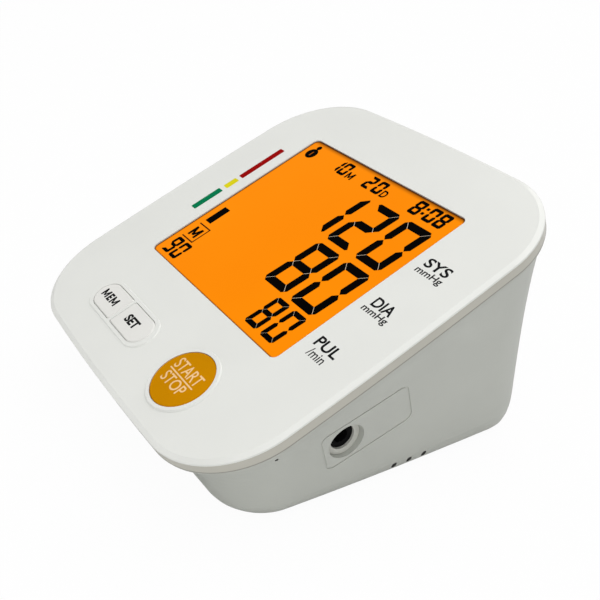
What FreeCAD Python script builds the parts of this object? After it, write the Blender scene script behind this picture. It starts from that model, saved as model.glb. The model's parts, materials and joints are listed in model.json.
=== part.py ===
import FreeCAD, Part
import math
import os
from FreeCAD import Placement, Rotation, Vector

# Desk monitor for blood pressure, in millimetres and degrees.
# X runs to the reader's right, Y away from the reader, Z up from the table.
# The origin is on the table, under the middle of the whole monitor.

# General
overrun = 1.0                  # how far a cut runs past what it cuts
slip = 0.1                     # gap between fixed pieces that drop into each other
moving_gap = 0.3               # gap round a piece that moves past another
key_gap = 0.15                 # gap round a key in its hole
turning_gap = 0.05             # gap round a shaft or plunger in its guide
near = 0.01                    # how close an edge lies to a height to be picked there

# Display window, which the sloping face goes round
window_width = 80.0
window_length = 70.8           # along the slope
window_corner_r = 2.2
window_sunk = 0.4
window_flange = 2.0
flange_thick = 0.8
glass_thick = 2.0
light_thick = 3.2
frame_wall = 2.0

# Sloping face
face_tilt = 24.2
side_margin = 25.5             # from the window to each side edge
top_margin = 22.6
bottom_margin = 39.8           # holds the keys
face_side_bulge = 1.55         # how far each side edge bows out
face_end_bulge = 2.0
face_corner_r = 28.0

# Lower case
foot_proud = 0.8               # how far the feet lift the case
base_narrower = 14.1           # than the face
base_shorter = 24.8
base_setback = 9.4             # middle of the base behind the middle of the face
base_side_bulge = 1.2
base_end_bulge = 1.6
base_corner_r = 15.8
base_round = 3.6               # rounding of the bottom edge
base_round_share = 0.153       # share of the wall's height that the rounding takes
wall = 2.2
floor = 2.2
case_inset = 1.1               # step in from the band to the wall
lip_inset = 0.35               # thin bead at the top of the wall
lip_height = 0.6
lean_share = 0.49              # part of the wall's spread that is an even lean
flare_power = 4.3              # how late the rest of it flares
front_power = 3.1              # the same for the front wall
round_steps = 5                # outlines up the rounded bottom edge
wall_steps = 10                # outlines up the wall above it

# Top cover and trim band
cover_edge = 1.2
rim_wide = 1.5                 # sloping border round the face
rim_slope = 23.5
rim_r = 0.3                    # round edge outside that border
rim_steps = 4                  # outlines round that edge
cover_thick = 2.4
band_height = 3.2
band_inset = 0.15
band_wall = 3.4
skirt_gap = 0.15
skirt_thick = 1.3
skirt_depth = 1.6              # how far the cover's skirt reaches below the band

# Keys
key_row_in = 18.1              # middle of the keys from the face's front edge
pill_mid = -17.2
pill_length = 39.4
pill_width = 13.0
pill_proud = 0.35
pill_bevel = 0.3               # chamfer round the raised pill
pill_rim = 2.1                 # step in from the pill to the keys' round ends
pill_edge = 1.5                # the same along their sides
key_split = 1.3                # between the two keys
split_left = 0.95              # middle of that split, left of the pill's middle
key_corner_r = 0.7
key_proud = 0.55
key_edge = 0.35                # chamfer round a key
start_x = 25.4
start_r = 9.9
start_proud = 0.55
start_edge = 0.25
ring_wide = 1.45
ring_proud = 0.5
ring_edge = 0.4
keep_wide = 0.9                # rim that keeps a key under the cover
keep_thick = 0.8
keep_gap = 0.1
stem_r = 2.6
key_travel = 0.7

# Switches
switch_side = 6.0
switch_high = 3.5
switch_corner_r = 0.6
plunger_r = 1.7
plunger_proud = 1.2
plunger_deep = 1.3

# Main board
board_wider = 1.4              # than the display's frame, at each side
board_front_in = 12.6          # from the ends of the face
board_back_in = 11.6
board_thick = 1.6
board_corner_r = 8.0
post_in = 4.5                  # from the board's side edges
post_gap = 0.4                 # to the display's frame
post_r = 3.0
board_screw_r = 1.1
board_screw_length = 7.0
board_head_r = 2.3
board_head = 1.5
chip_side = 12.0
chip_thick = 1.6
chip_corner_r = 0.5
chip_x = -12.0
chip_up = -12.0
buzzer_r = 6.0
buzzer_high = 4.5
buzzer_from_post = 11.0
buzzer_in = 16.0               # from the board's front edge
buzzer_hole_r = 1.0
sensor_side = 8.0
sensor_high = 3.0

# Air socket in the right wall
socket_y = -12.5               # from the middle of the face
socket_z = 21.4
socket_rim_r = 5.7
socket_mouth_r = 3.9
socket_sunk = 2.2
socket_bore = 8.7
socket_flange_r = 7.6
socket_flange = 1.6
seal_r = 2.2
seal_sunk = 0.8
seal_length = 6.9
socket_boss_r = 8.6
elbow_clear = 8.0              # from the end of the slanted hose to the seat of its nipple

# Small features of the right wall
panel_groove = 0.6             # width of the groove round the panel
panel_sunk = 0.2
panel_long = 29.5
panel_high = 14.3
panel_corner_r = 2.5
panel_slope = 19.0
panel_mid_y = -6.0
panel_mid_z = 23.8
pinhole_r = 0.6
pinhole_y = -35.2
pinhole_down = 5.356          # from the case's top edge there
vent_wide = 1.7
vent_high = 2.2
vent_pitch = 5.6
vent_count = 3
vent_mid_y = 12.8
vent_z = 4.2

# Cells and their bay
cell_r = 7.1
cell_length = 49.2
nub_r = 2.75
nub_length = 1.3
cell_count = 4
cell_pitch = 14.9
cell_room = 0.3
bay_in = 12.0                  # from the back of the base
leaf_room = 4.5                # between a cell's flat end and its contact plate
bay_wall = 2.6
bay_roof = 1.6
contact_thick = 0.4
contact_wide = 10.0
leaf_wide = 6.0

# Battery door
door_thick = 2.0
door_margin = 2.0
door_corner_r = 2.5
door_cell_gap = 0.3
tongue_wide = 8.0
tongue_spread = 36.0           # between the middles of the two tongues
tongue_reach = 2.4
tongue_plate = 1.2
tongue_room = 2.0
latch_wide = 15.0
latch_long = 13.0
latch_slot = 1.2
grip_wide = 1.2
grip_pitch = 2.6
grip_count = 4

# Feet and case screws
foot_r = 5.0
foot_sunk = 0.8
foot_gap = 6.15                # from the battery door
foot_front_in = 12.8           # from the ends of the base
foot_back_in = 13.6
boss_apart = 0.9               # from the socket's boss and the pump's sleeve
boss_r = 4.0
boss_share = 0.45              # height of a boss, as a share of the room under the cover
pillar_r = 3.4
pillar_gap = 0.7               # from the board
head_sink = 5.0                # depth of a screw head in the base
head_r = 2.8
head_high = 2.0
screw_r = 1.5
screw_bite = 9.0
recess_wide = 0.9
recess_long = 3.2
recess_deep = 1.1

# Pump
motor_r = 12.0
motor_length = 27.0
motor_wall = 1.0
motor_edge = 1.2
shaft_r = 1.0
shaft_tail = 2.5
armature_r = 8.5
armature_gap = 2.0
eccentric_r = 4.0
eccentric_throw = 1.5
eccentric_thick = 4.0
eccentric_gap = 1.0
head_side = 24.0
head_length = 20.0
head_corner_r = 5.0
chamber_r = 9.0
chamber_length = 8.0
sleeve_wall = 1.6
sleeve_length = 22.0
saddle_thick = 2.5
saddle_count = 2
saddle_pitch = 11.0
saddle_lift = 0.8              # below the sleeve, over the bay's roof
pump_from_back = 24.0          # its axis from the back of the bay
board_room = 2.474             # between the pump and the board

# Air line
nipple_r = 1.5
nipple_bore_r = 0.8
nipple_length = 4.0
tube_wall = 1.25
tube_gap = 0.05
tube_end_gap = 0.2
manifold_side = 7.5
nipple_apart = 2.0             # between the tips of two nipples in one tube
rib_thick = 2.5

# Release valve
yoke_side = 14.0
yoke_length = 16.0
yoke_wall = 1.5
coil_r = 5.4
coil_length = 9.0
valve_rod_r = 1.6
valve_rod_proud = 2.0
valve_travel = 0.8
valve_rest = 0.3               # rod's end to the nozzle, with the valve shut

# Values worked out from the sizes above
face_width = window_width + 2 * side_margin
face_length = window_length + top_margin + bottom_margin
window_up = (bottom_margin - top_margin) / 2
base_width = face_width - base_narrower
base_length = face_length - base_shorter
tilt_cos = math.cos(math.radians(face_tilt))
tilt_sin = math.sin(math.radians(face_tilt))
parting = cover_edge + band_height
wall_top = parting + lip_height
rim_cos = math.cos(math.radians(rim_slope))
rim_sin = math.sin(math.radians(rim_slope))
rim_mid = rim_r * rim_cos + (rim_wide - rim_r * (1 - rim_sin)) * rim_sin / rim_cos
edge_pull = rim_r * (tilt_cos - 1) + rim_mid * tilt_sin
front_reach = face_length / 2 * tilt_cos - edge_pull
round_spread = lean_share * base_round_share + (1 - lean_share) * base_round_share ** flare_power
base_reach = base_setback + base_length / 2
top_reach = face_length / 2 * tilt_cos + wall_top * tilt_sin
back_reach = base_reach + (top_reach - base_reach - case_inset) * round_spread
face_y = (front_reach - back_reach) / 2
base_z = foot_proud
base_mid = face_y + base_setback
base_front = base_mid - base_length / 2
base_back = base_mid + base_length / 2
floor_z = base_z + floor
bay_half = (cell_length + nub_length + leaf_room) / 2 + contact_thick
bay_back = base_back - bay_in
bay_front = bay_back - cell_count * cell_pitch
cell_z = base_z + door_thick + door_cell_gap + cell_r
roof_z = cell_z + cell_r + cell_room + bay_roof
pump_y = bay_back - pump_from_back
pump_z = roof_z + saddle_lift + sleeve_wall + motor_r
sleeve_r = motor_r + sleeve_wall
board_top = cover_thick + flange_thick + glass_thick + light_thick
board_under = board_top + board_thick
head_reach = (head_side / 2 - head_corner_r) * (tilt_cos + tilt_sin) + head_corner_r
pump_depth = board_under + board_room + max(sleeve_r, head_reach)
face_height = pump_z + (pump_depth - (pump_y - face_y) * tilt_sin) / tilt_cos
fan_depth = (face_height - base_z - wall_top * tilt_cos) / tilt_sin
fan_y = face_y - fan_depth * tilt_cos + wall_top * tilt_sin
top_front = face_y - face_length / 2 * tilt_cos + wall_top * tilt_sin
top_back = face_y + top_reach
stem_end = board_top - switch_high - plunger_proud
face_place = Placement(Vector(0, face_y, face_height), Rotation(Vector(1, 0, 0), face_tilt))
reach = face_width + face_length
key_row_down = face_length / 2 - key_row_in
half_key_room = (pill_length - key_split) / 2 - pill_rim
key_lengths = {"mem": half_key_room - split_left, "set": half_key_room + split_left}
key_width = pill_width - 2 * pill_edge
board_front = face_length / 2 - board_front_in
board_back = face_length / 2 - board_back_in
frame_grow = window_flange + slip + frame_wall
board_width = window_width + 2 * (frame_grow + board_wider)
post_x = board_width / 2 - post_in
post_out = window_length / 2 + frame_grow + post_gap + post_r
post_front = post_out - window_up
post_back = post_out + window_up
buzzer_x = buzzer_from_post - post_x
foot_x = bay_half + door_margin + foot_gap + foot_r
foot_front = base_front + foot_front_in
foot_back = base_back - foot_back_in
port_y = face_y + socket_y
boss_x = board_width / 2 + pillar_gap + pillar_r
boss_front = port_y - socket_boss_r - boss_apart - boss_r
boss_back = pump_y + sleeve_r + boss_apart + boss_r
elbow_length = elbow_clear + nipple_length


def on_face(shape):
    """Turn a shape from the face's own axes (depth along -z) into the monitor's."""
    placed = shape.copy()
    placed.Placement = face_place.multiply(placed.Placement)
    return placed


def face_point(across, up, depth):
    return face_place.multVec(Vector(across, up, -depth))


def arc_on(middle, radius, start, end):
    points = []
    for angle in (start, (start + end) / 2, end):
        points.append(middle + Vector(radius * math.cos(angle), radius * math.sin(angle), 0))
    return Part.Arc(*points).toShape()


def bowed_outline(half_width, half_length, side_bulge, end_bulge, corner_r, inset):
    """Rounded rectangle with bowed sides: eight tangent arcs, moved in by inset."""
    side_r = (half_length ** 2 + side_bulge ** 2) / (2 * side_bulge)
    end_r = (half_width ** 2 + end_bulge ** 2) / (2 * end_bulge)
    side_mid = half_width - side_r
    end_mid = half_length - end_r
    to_side = side_r - corner_r
    to_end = end_r - corner_r
    span = math.hypot(side_mid, end_mid)
    along = (to_side ** 2 - to_end ** 2 + span ** 2) / (2 * span)
    off = math.sqrt(to_side ** 2 - along ** 2)
    corner_x = side_mid * (1 - along / span) - off * end_mid / span
    corner_y = end_mid * along / span - off * side_mid / span
    low = math.atan2(corner_y, corner_x - side_mid)
    high = math.atan2(corner_y - end_mid, corner_x)
    edges = []
    for turn in range(4):
        across = turn % 2
        sign_x = (1, -1, -1, 1)[turn]
        sign_y = (1, 1, -1, -1)[turn]
        start = turn * math.pi / 2
        if across:
            bow = arc_on(Vector(0, sign_y * end_mid, 0), end_r - inset,
                         start - (math.pi / 2 - high), start + (math.pi / 2 - high))
            corner = arc_on(Vector(sign_x * corner_x, sign_y * corner_y, 0), corner_r - inset,
                            start + math.pi / 2 - high, start + math.pi / 2 - low)
        else:
            bow = arc_on(Vector(sign_x * side_mid, 0, 0), side_r - inset, start - low, start + low)
            corner = arc_on(Vector(sign_x * corner_x, sign_y * corner_y, 0), corner_r - inset,
                            start + low, start + high)
        edges += [bow, corner]
    return Part.Wire(edges)


def face_outline(inset):
    return bowed_outline(face_width / 2, face_length / 2, face_side_bulge, face_end_bulge,
                         face_corner_r, inset)


def face_slab(inset, top, bottom):
    """Plate of the face's outline between two depths below the face."""
    slab = Part.Face(face_outline(inset)).extrude(Vector(0, 0, bottom - top))
    slab.translate(Vector(0, 0, -bottom))
    return slab


def rounded_plate(width, length, corner_r, thick):
    """Plate with round corners, middle at the origin, growing up from z 0."""
    x = width / 2
    y = length / 2
    middles = [(x - corner_r, y - corner_r), (corner_r - x, y - corner_r),
               (corner_r - x, corner_r - y), (x - corner_r, corner_r - y)]
    arcs = []
    for turn, (mid_x, mid_y) in enumerate(middles):
        start = turn * math.pi / 2
        arcs.append(arc_on(Vector(mid_x, mid_y, 0), corner_r, start, start + math.pi / 2))
    edges = []
    for turn, arc in enumerate(arcs):
        ahead = arcs[(turn + 1) % 4]
        edges.append(arc)
        gap_start = arc.Vertexes[-1].Point
        gap_end = ahead.Vertexes[0].Point
        if gap_start.distanceToPoint(gap_end) > corner_r * 1e-6:
            edges.append(Part.makeLine(gap_start, gap_end))
    return Part.Face(Part.Wire(edges)).extrude(Vector(0, 0, thick))


def box_between(low, high):
    size = high - low
    return Part.makeBox(size.x, size.y, size.z, low)


def rod(radius, start, end):
    """Round bar from one point to another."""
    axis = end - start
    return Part.makeCylinder(radius, axis.Length, start, axis)


def tube(outer_r, inner_r, start, end):
    axis = end - start
    past = axis.normalize() * overrun
    return rod(outer_r, start, end).cut(rod(inner_r, start - past, end + past))


def joined(shapes):
    whole = shapes[0]
    if len(shapes) > 1:
        whole = shapes[0].multiFuse(shapes[1:])
    return whole.removeSplitter()


def case_ring(share, inset):
    """Outline of the lower case on a plane that fans up from the base to the band."""
    turn = face_tilt * share
    turn_cos = math.cos(math.radians(turn))
    spread = lean_share * share + (1 - lean_share) * share ** flare_power
    front_spread = lean_share * share + (1 - lean_share) * share ** front_power
    round_in = 0
    if share < base_round_share:
        left = 1 - share / base_round_share
        round_in = base_round * (1 - math.sqrt(1 - left ** 2))
    half_width = base_width / 2 + (face_width - base_width) / 2 * spread
    front = (base_front + (top_front - base_front) * front_spread - fan_y) / turn_cos
    back = (base_back + (top_back - base_back) * spread - fan_y) / turn_cos
    ring = bowed_outline(half_width, (back - front) / 2,
                         base_side_bulge + (face_side_bulge - base_side_bulge) * share,
                         base_end_bulge + (face_end_bulge - base_end_bulge) * share,
                         base_corner_r + (face_corner_r - base_corner_r) * share,
                         inset + round_in + case_inset * spread)
    middle = (front + back) / 2
    lift = middle * math.sin(math.radians(turn))
    ring.Placement = Placement(Vector(0, fan_y + middle * turn_cos, base_z + lift),
                               Rotation(Vector(1, 0, 0), turn))
    return ring


def case_form(inset):
    """Solid of the lower case, its wall moved in by inset."""
    shares = []
    for step in range(round_steps):
        shares.append(base_round_share * (1 - math.cos(step * math.pi / 2 / round_steps)))
    for step in range(wall_steps + 1):
        shares.append(base_round_share + (1 - base_round_share) * step / wall_steps)
    return Part.makeLoft([case_ring(share, inset) for share in shares], True, True)


outer_form = case_form(0)


def wall_x(y, z):
    """Where a line along +X leaves the lower case."""
    line = Part.makeLine(Vector(0, y, z), Vector(reach, y, z))
    return outer_form.common(line).BoundBox.XMax


def wall_normal(y, z):
    """Outward direction of the right wall at a place on it."""
    slope_y = (wall_x(y + wall, z) - wall_x(y - wall, z)) / (2 * wall)
    slope_z = (wall_x(y, z + wall) - wall_x(y, z - wall)) / (2 * wall)
    return Vector(1, -slope_y, -slope_z).normalize()


def under_face(depth, y):
    """Height above the table, at y, of the plane that lies a depth under the face."""
    up = (y - face_y - depth * tilt_sin) / tilt_cos
    return face_height + up * tilt_sin - depth * tilt_cos


# Keys and their outlines on the face
key_mids = {"mem": pill_mid - split_left - (key_split + key_lengths["mem"]) / 2,
            "set": pill_mid - split_left + (key_split + key_lengths["set"]) / 2}
switch_mids = {"mem": key_mids["mem"], "set": key_mids["set"], "start": start_x}


def key_outline_plate(name, grow, inner_grow, thick):
    """Plate of one half of the pill, round at its outer end."""
    side = 1 if name == "set" else -1
    end_r = key_width / 2 + grow
    inner = -side * (key_lengths[name] / 2 + inner_grow)
    outer = side * (key_lengths[name] / 2 + grow)
    corner = key_corner_r
    turn = outer - side * end_r
    low = -end_r
    high = end_r
    tip = Vector(outer, 0, 0)
    diagonal = corner * (1 - math.sqrt(0.5))
    edges = [
        Part.makeLine(Vector(inner + side * corner, low, 0), Vector(turn, low, 0)),
        Part.Arc(Vector(turn, low, 0), tip, Vector(turn, high, 0)).toShape(),
        Part.makeLine(Vector(turn, high, 0), Vector(inner + side * corner, high, 0)),
        Part.Arc(Vector(inner + side * corner, high, 0),
                 Vector(inner + side * diagonal, high - diagonal, 0),
                 Vector(inner, high - corner, 0)).toShape(),
        Part.makeLine(Vector(inner, high - corner, 0), Vector(inner, low + corner, 0)),
        Part.Arc(Vector(inner, low + corner, 0),
                 Vector(inner + side * diagonal, low + diagonal, 0),
                 Vector(inner + side * corner, low, 0)).toShape()]
    plate = Part.Face(Part.Wire(edges)).extrude(Vector(0, 0, thick))
    plate.translate(Vector(key_mids[name], -key_row_down, 0))
    return plate


def edges_at_height(shape, height):
    """Edges that lie flat at one height."""
    found = []
    for edge in shape.Edges:
        box = edge.BoundBox
        if abs(box.ZMin - height) < near and abs(box.ZMax - height) < near:
            found.append(edge)
    return found


# Case screws stand upright, in bosses of the case and pillars of the cover
boss_places = [(side * boss_x, y) for side in (-1, 1) for y in (boss_front, boss_back)]
board_post_places = [(side * post_x, up) for side in (-1, 1) for up in (-post_front, post_back)]


def boss_top(y):
    return floor_z + (under_face(cover_thick, y) - floor_z) * boss_share


def cover_plate():
    """Face plate with a sloping border and a round edge, through outlines down its rim."""
    outlines = [face_outline(rim_wide)]
    for step in range(rim_steps + 1):
        angle = math.radians(rim_slope + (90 - rim_slope) * step / rim_steps)
        ring = face_outline(rim_r * (1 - math.sin(angle)))
        ring.translate(Vector(0, 0, rim_r * math.cos(angle) - rim_mid))
        outlines.append(ring)
    low = face_outline(0)
    low.translate(Vector(0, 0, -cover_edge))
    return Part.makeLoft(outlines + [low], True, True)


def make_top_cover():
    plate = cover_plate()
    skirt_in = band_inset + band_wall + skirt_gap
    inner = face_slab(skirt_in, cover_edge / 2, cover_thick)
    skirt = face_slab(skirt_in, cover_thick - cover_edge / 2, parting + skirt_depth)
    skirt = skirt.cut(face_slab(skirt_in + skirt_thick, 0, parting + skirt_depth + overrun))
    ring = Part.makeCylinder(start_r + key_gap + ring_wide, ring_proud + cover_edge,
                             Vector(start_x, -key_row_down, -cover_edge))
    ring = ring.makeChamfer(ring_edge, edges_at_height(ring, ring_proud))
    posts = []
    for across, up in board_post_places:
        posts.append(rod(post_r, Vector(across, up, -board_top), Vector(across, up, -cover_edge)))
    pill = rounded_plate(pill_length, pill_width, pill_width / 2, pill_proud + cover_edge)
    pill = pill.makeChamfer(pill_bevel, edges_at_height(pill, pill_proud + cover_edge))
    pill.translate(Vector(pill_mid, -key_row_down, -cover_edge))
    cover = joined([plate, inner, skirt, ring, pill] + posts)

    window = rounded_plate(window_width, window_length, window_corner_r, cover_thick + 2 * overrun)
    window.translate(Vector(0, window_up, -cover_thick - overrun))
    cuts = [window]
    for name in key_mids:
        hole = key_outline_plate(name, key_gap, key_gap, cover_thick + pill_proud + 2 * overrun)
        hole.translate(Vector(0, 0, -cover_thick - overrun))
        cuts.append(hole)
    cuts.append(rod(start_r + key_gap, Vector(start_x, -key_row_down, -cover_thick - overrun),
                    Vector(start_x, -key_row_down, ring_proud + overrun)))
    for across, up in board_post_places:
        cuts.append(rod(board_screw_r + turning_gap, Vector(across, up, -board_top - overrun),
                        Vector(across, up, board_screw_length + slip - board_under)))
    cover = on_face(cover.cut(cuts))

    pillars = []
    keep = on_face(face_slab(0, cover_edge, reach))
    for x, y in boss_places:
        low = Vector(x, y, boss_top(y))
        pillar = rod(pillar_r, low, low + Vector(0, 0, reach)).common(keep)
        pillars.append(pillar.cut(rod(screw_r + turning_gap, low - Vector(0, 0, overrun),
                                      low + Vector(0, 0, screw_bite + overrun))))
    return joined([cover] + pillars)


def make_trim_band():
    band = face_slab(band_inset, cover_edge, parting)
    return on_face(band.cut(face_slab(band_inset + band_wall, 0, parting + overrun)))


def window_block(grow, top, bottom):
    """Block of the window's outline, grown all round, between two depths."""
    block = rounded_plate(window_width + 2 * grow, window_length + 2 * grow, window_corner_r + grow,
                          bottom - top)
    block.translate(Vector(0, window_up, -bottom))
    return block


glass_top = cover_thick + flange_thick
glass_bottom = glass_top + glass_thick


def make_display_window():
    raised = window_block(-slip, window_sunk, cover_thick)
    return on_face(joined([raised, window_block(window_flange, cover_thick, glass_top)]))


def make_display_frame():
    ring = window_block(frame_grow, cover_thick, board_top)
    return on_face(ring.cut(window_block(window_flange + slip, 0, board_top + overrun)))


def make_main_board():
    board = rounded_plate(board_width, board_front + board_back, board_corner_r, board_thick)
    board.translate(Vector(0, (board_back - board_front) / 2, -board_under))
    holes = [rod(board_screw_r + slip, Vector(x, up, -board_under - overrun),
                 Vector(x, up, overrun - board_top)) for x, up in board_post_places]
    return on_face(board.cut(holes))


def make_board_screws():
    screws = []
    for x, up in board_post_places:
        under = Vector(x, up, -board_under)
        head = rod(board_head_r, under - Vector(0, 0, board_head), under)
        shank = rod(board_screw_r, under, under + Vector(0, 0, board_screw_length))
        screws.append(on_face(head.fuse(shank)))
    return Part.makeCompound(screws)


def make_chip():
    chip = rounded_plate(chip_side, chip_side, chip_corner_r, chip_thick)
    chip.translate(Vector(chip_x, chip_up, -board_under - chip_thick))
    return on_face(chip)


def make_buzzer():
    seat = Vector(buzzer_x, buzzer_in - board_front, -board_under)
    low = seat - Vector(0, 0, buzzer_high)
    can = rod(buzzer_r, low, seat)
    return on_face(can.cut(rod(buzzer_hole_r, low - Vector(0, 0, overrun), low + Vector(0, 0, overrun))))


keep_top = cover_thick + keep_gap
keep_bottom = keep_top + keep_thick


def make_key(name):
    """Half-pill cap, with its keeping rim under the cover and a stem on the switch."""
    cap = key_outline_plate(name, 0, 0, key_proud + keep_top)
    cap.translate(Vector(0, 0, -keep_top))
    cap = cap.makeChamfer(key_edge, edges_at_height(cap, key_proud))
    rim = key_outline_plate(name, keep_wide, (key_split - moving_gap) / 2, keep_thick)
    rim.translate(Vector(0, 0, -keep_bottom))
    place = Vector(key_mids[name], -key_row_down, 0)
    stem = rod(stem_r, place - Vector(0, 0, stem_end), place - Vector(0, 0, keep_bottom))
    return on_face(joined([cap, rim, stem]))


def make_start_button():
    """Round cap with a bevelled edge, turned from its profile."""
    rim_r = start_r + keep_wide
    corners = [Vector(0, 0, start_proud), Vector(start_r - start_edge, 0, start_proud),
               Vector(start_r, 0, start_proud - start_edge), Vector(start_r, 0, -keep_top),
               Vector(rim_r, 0, -keep_top), Vector(rim_r, 0, -keep_bottom), Vector(stem_r, 0, -keep_bottom),
               Vector(stem_r, 0, -stem_end), Vector(0, 0, -stem_end)]
    profile = Part.Face(Part.makePolygon(corners + corners[:1]))
    button = profile.revolve(Vector(0, 0, 0), Vector(0, 0, 1), 360)
    button.translate(Vector(start_x, -key_row_down, 0))
    return on_face(button)


def make_switch(name):
    body = rounded_plate(switch_side, switch_side, switch_corner_r, switch_high)
    room = plunger_deep + key_travel + slip
    guide = rod(plunger_r + turning_gap, Vector(0, 0, switch_high - room),
                Vector(0, 0, switch_high + overrun))
    body = body.cut(guide)
    body.translate(Vector(switch_mids[name], -key_row_down, -board_top))
    return on_face(body)


def make_plunger(name):
    top = Vector(switch_mids[name], -key_row_down, -stem_end)
    return on_face(rod(plunger_r, top - Vector(0, 0, plunger_proud + plunger_deep), top))


# Cells lie along X, side by side in the bay, every other one turned round
cell_ys = [bay_front + (index + 0.5) * cell_pitch for index in range(cell_count)]
cell_signs = [1 if index % 2 else -1 for index in range(cell_count)]
plate_x = bay_half - contact_thick

# Pump, manifold and valve stand in line along X above the bay, in the middle of the case
nipple_pair = 2 * nipple_length + nipple_apart
line_length = (shaft_tail + motor_length + head_length + 2 * nipple_pair + manifold_side + yoke_length
               + valve_rod_proud)
motor_left = shaft_tail - line_length / 2
motor_right = motor_left + motor_length
head_right = motor_right + head_length
manifold_left = head_right + nipple_pair
manifold_mid = Vector(manifold_left + manifold_side / 2, pump_y, pump_z)
yoke_left = manifold_left + manifold_side + nipple_pair
yoke_right = yoke_left + yoke_length
line_mid = Vector(0, pump_y, pump_z)
along_x = Vector(1, 0, 0)
tube_r = nipple_r + tube_gap + tube_wall

# The sensor hangs under the board, square to it and in line with the manifold
manifold_up = (pump_y - face_y) * tilt_cos + (pump_z - face_height) * tilt_sin
manifold_depth = (pump_y - face_y) * tilt_sin - (pump_z - face_height) * tilt_cos
sensor_depth = board_under + sensor_high

# Air socket
port_wall = wall_x(port_y, socket_z)
port_face = port_wall - socket_sunk
port_seat = port_face - socket_bore
port_back = port_seat - socket_flange


def port_point(x):
    return Vector(x, port_y, socket_z)


def line_point(x):
    return line_mid + along_x * x


# The socket's nipple and one of the manifold's point at each other
elbow_way = (manifold_mid - port_point(port_seat)).normalize()
elbow_end = port_point(port_seat) + elbow_way * elbow_length


def make_bay_void():
    """Space for the cells: half-round troughs over a straight-sided well."""
    low = Vector(-bay_half, bay_front, base_z - overrun)
    void = [box_between(low, Vector(bay_half, bay_back, cell_z))]
    for y in cell_ys:
        void.append(rod(cell_r + cell_room, Vector(-bay_half, y, cell_z), Vector(bay_half, y, cell_z)))
    return joined(void)


def door_plate(grow, thick):
    plate = rounded_plate(2 * (bay_half + door_margin + grow),
                          bay_back - bay_front + 2 * (door_margin + grow), door_corner_r + grow, thick)
    plate.translate(Vector(0, (bay_front + bay_back) / 2, base_z))
    return plate


door_front = bay_front - door_margin


def door_tongue(side, grow, reach_in, top):
    middle = side * tongue_spread / 2
    half = tongue_wide / 2 + grow
    low = Vector(middle - half, door_front - reach_in, base_z + door_thick - grow)
    return box_between(low, Vector(middle + half, bay_front + tongue_plate + grow, top))


def make_battery_door():
    """Flush plate with two tongues at its front and a sprung latch cut out of its back."""
    plate = door_plate(-moving_gap, door_thick)
    tongues = []
    for side in (-1, 1):
        tongues.append(door_tongue(side, 0, tongue_reach, base_z + door_thick + tongue_plate))
    plate = joined([plate] + tongues)
    back = bay_back + door_margin
    cuts = []
    for side in (-1, 1):
        middle = side * (latch_wide + latch_slot) / 2
        cuts.append(box_between(Vector(middle - latch_slot / 2, back - latch_long, base_z - overrun),
                                Vector(middle + latch_slot / 2, back + overrun, floor_z + overrun)))
    for index in range(grip_count):
        middle = back - latch_long / 2 + (index - (grip_count - 1) / 2) * grip_pitch
        cuts.append(rod(grip_wide / 2, Vector(slip + latch_slot - latch_wide / 2, middle, base_z),
                        Vector(latch_wide / 2 - latch_slot - slip, middle, base_z)))
    return plate.cut(cuts)


def make_bottom_shell():
    """Wedge-shaped moulded case: a fan of bowed outlines, hollowed, with its inner mouldings."""
    lip = on_face(face_slab(lip_inset, parting, wall_top))
    shell = outer_form.fuse(lip)
    upper = box_between(Vector(-reach, -reach, floor_z), Vector(reach, reach, reach))
    shell = shell.cut(case_form(wall).common(upper))
    shell = shell.cut([on_face(face_slab(case_inset + wall, 0, wall_top)),
                       on_face(face_slab(band_inset + band_wall, 0, parting + skirt_depth + slip))])

    # Bay walls, screw bosses, socket boss, saddles and rests
    bay = box_between(Vector(-bay_half - bay_wall, bay_front - bay_wall, base_z),
                      Vector(bay_half + bay_wall, bay_back + bay_wall, roof_z))
    moulded = [bay, rod(socket_boss_r, port_point(port_seat), port_point(port_wall + overrun))]
    for x, y in boss_places:
        moulded.append(rod(boss_r, Vector(x, y, base_z), Vector(x, y, boss_top(y))))
    saddle_mid = (motor_left + motor_right) / 2
    for index in range(saddle_count):
        x = saddle_mid + (index - (saddle_count - 1) / 2) * saddle_pitch
        saddle = box_between(Vector(x - saddle_thick / 2, pump_y - sleeve_r, base_z),
                             Vector(x + saddle_thick / 2, pump_y + sleeve_r, pump_z))
        moulded.append(saddle.cut(rod(sleeve_r, line_point(motor_left), line_point(motor_right))))
    rests = [(manifold_mid.x, manifold_side / 2, roof_z),
             (yoke_left + yoke_wall, yoke_side / 2, floor_z),
             (yoke_right - yoke_wall, yoke_side / 2, floor_z)]
    for x, half, low in rests:
        moulded.append(box_between(Vector(x - rib_thick / 2, pump_y - half, low),
                                   Vector(x + rib_thick / 2, pump_y + half, pump_z - half)))
    shell = joined([shell] + [piece.common(outer_form) for piece in moulded])

    cuts = [make_bay_void(), door_plate(0, door_thick + slip)]
    cuts.append(rod(socket_rim_r, port_point(port_seat - overrun), port_point(port_wall + overrun)))
    for side in (-1, 1):
        cuts.append(door_tongue(side, moving_gap, tongue_reach + moving_gap,
                                base_z + door_thick + tongue_plate + tongue_room))
        for y in (foot_front, foot_back):
            foot = Vector(side * foot_x, y, base_z)
            cuts.append(rod(foot_r, foot - Vector(0, 0, overrun), foot + Vector(0, 0, foot_sunk)))
    for x, y in boss_places:
        low = Vector(x, y, base_z)
        cuts.append(rod(head_r + moving_gap, low - Vector(0, 0, overrun), low + Vector(0, 0, head_sink)))
        cuts.append(rod(screw_r + slip, low, Vector(x, y, boss_top(y) + overrun)))
        cuts.append(rod(pillar_r + slip, Vector(x, y, boss_top(y)), Vector(x, y, reach)))
    cuts += make_wall_cuts()
    return shell.cut(cuts)


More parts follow.
